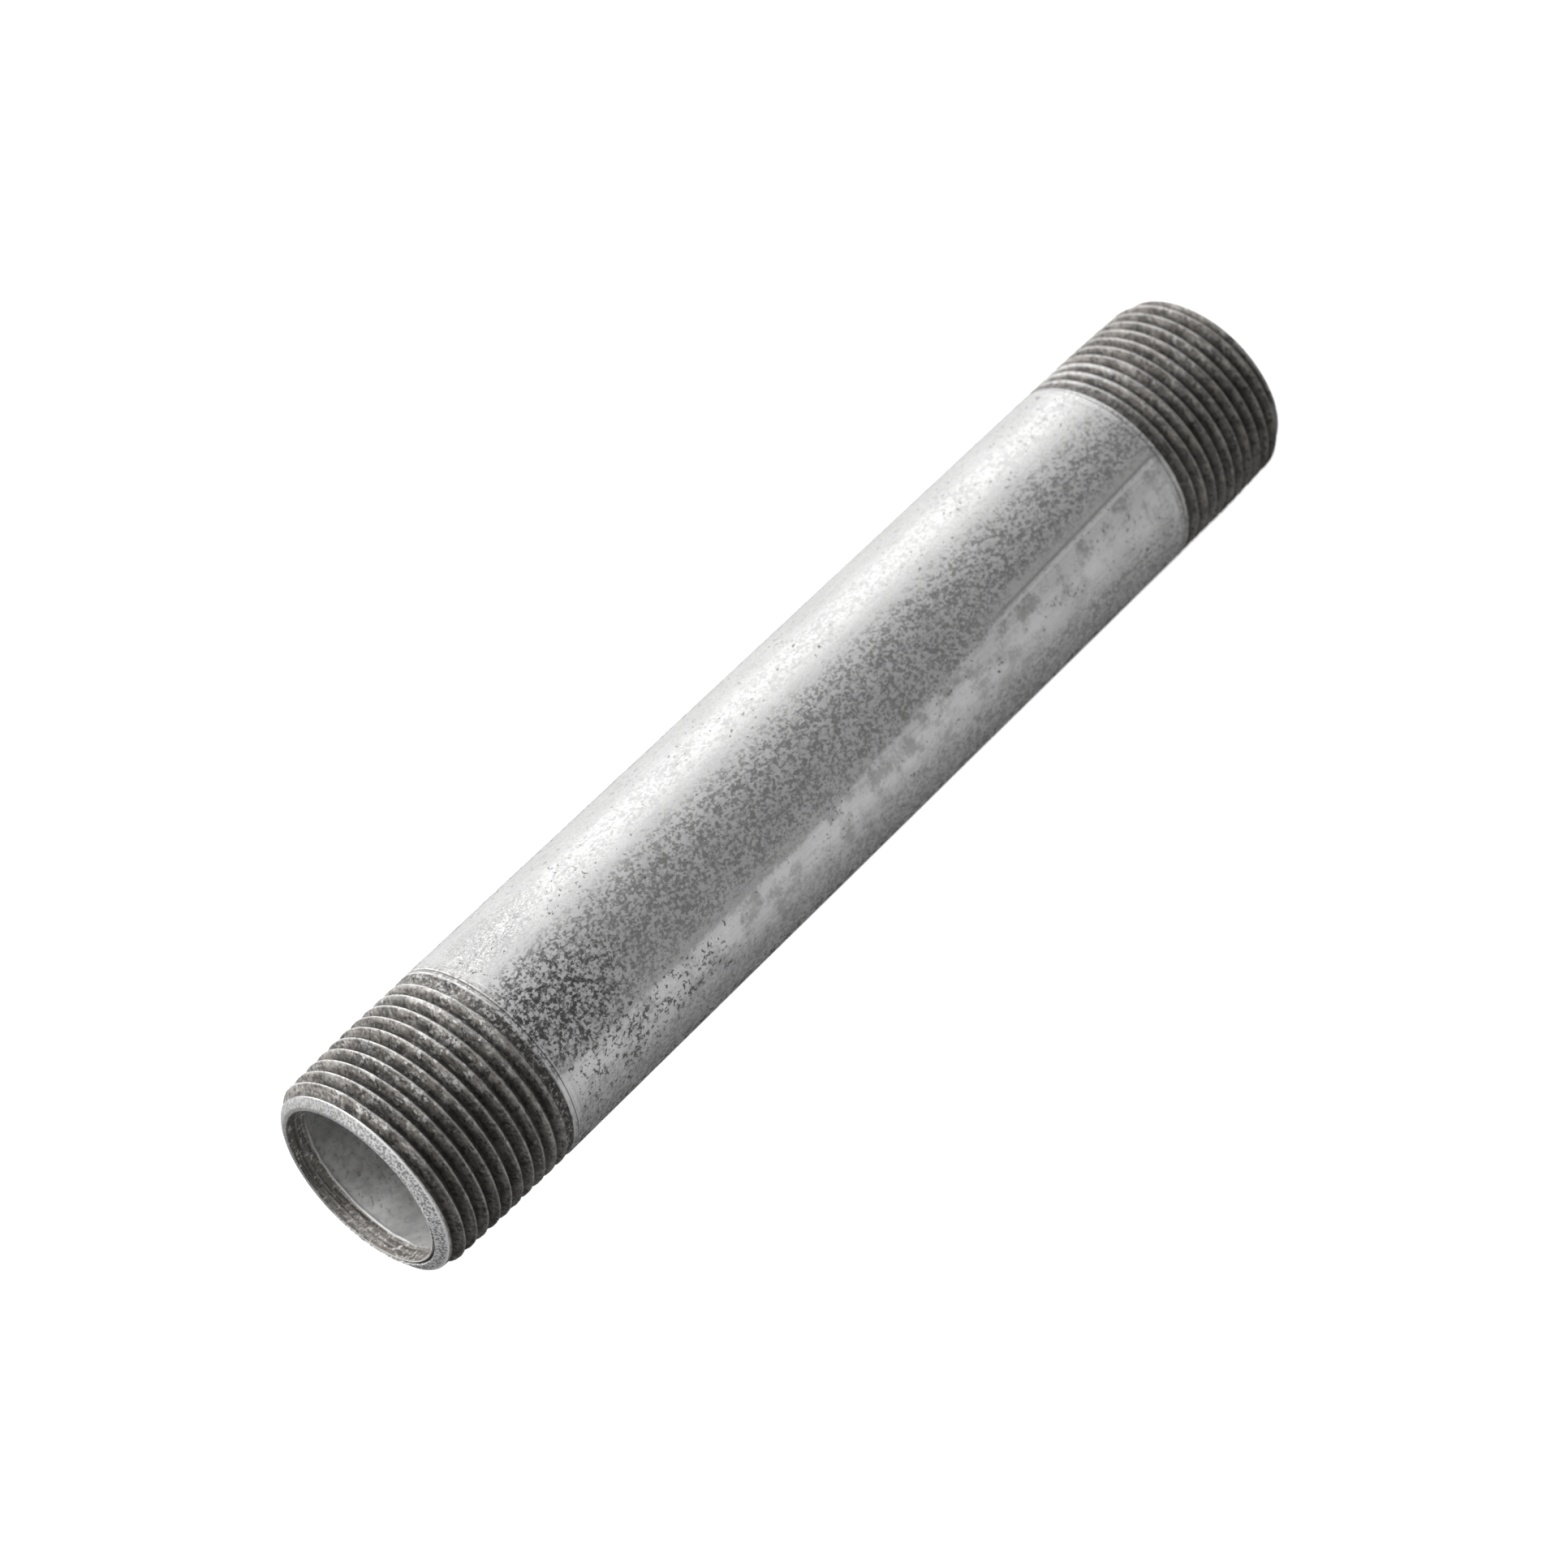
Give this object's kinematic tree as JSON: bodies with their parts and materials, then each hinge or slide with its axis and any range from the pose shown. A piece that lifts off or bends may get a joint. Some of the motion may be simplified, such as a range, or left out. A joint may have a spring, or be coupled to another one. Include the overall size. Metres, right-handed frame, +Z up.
{
  "type": "threaded pipe nipple",
  "caption": "Short straight length of galvanised steel pipe with a male taper pipe thread on each end, for joining female-threaded fittings.",
  "frame": {"origin": "middle of the pipe, on its centre line", "axes": "+X along the centre line, +Z up when the pipe lies on its side; the end drawn nearest in the usual view is at -X"},
  "size_m": [0.1524, 0.0266, 0.0266],
  "materials": {
    "galvanised_steel": "hot-dip galvanised: mottled mid-grey zinc with a soft shine on the barrel, and threads cut through the zinc to darker bare steel"
  },
  "bodies": {
    "root": {"pipe_nipple": "galvanised_steel"}
  },
  "joints": []
}
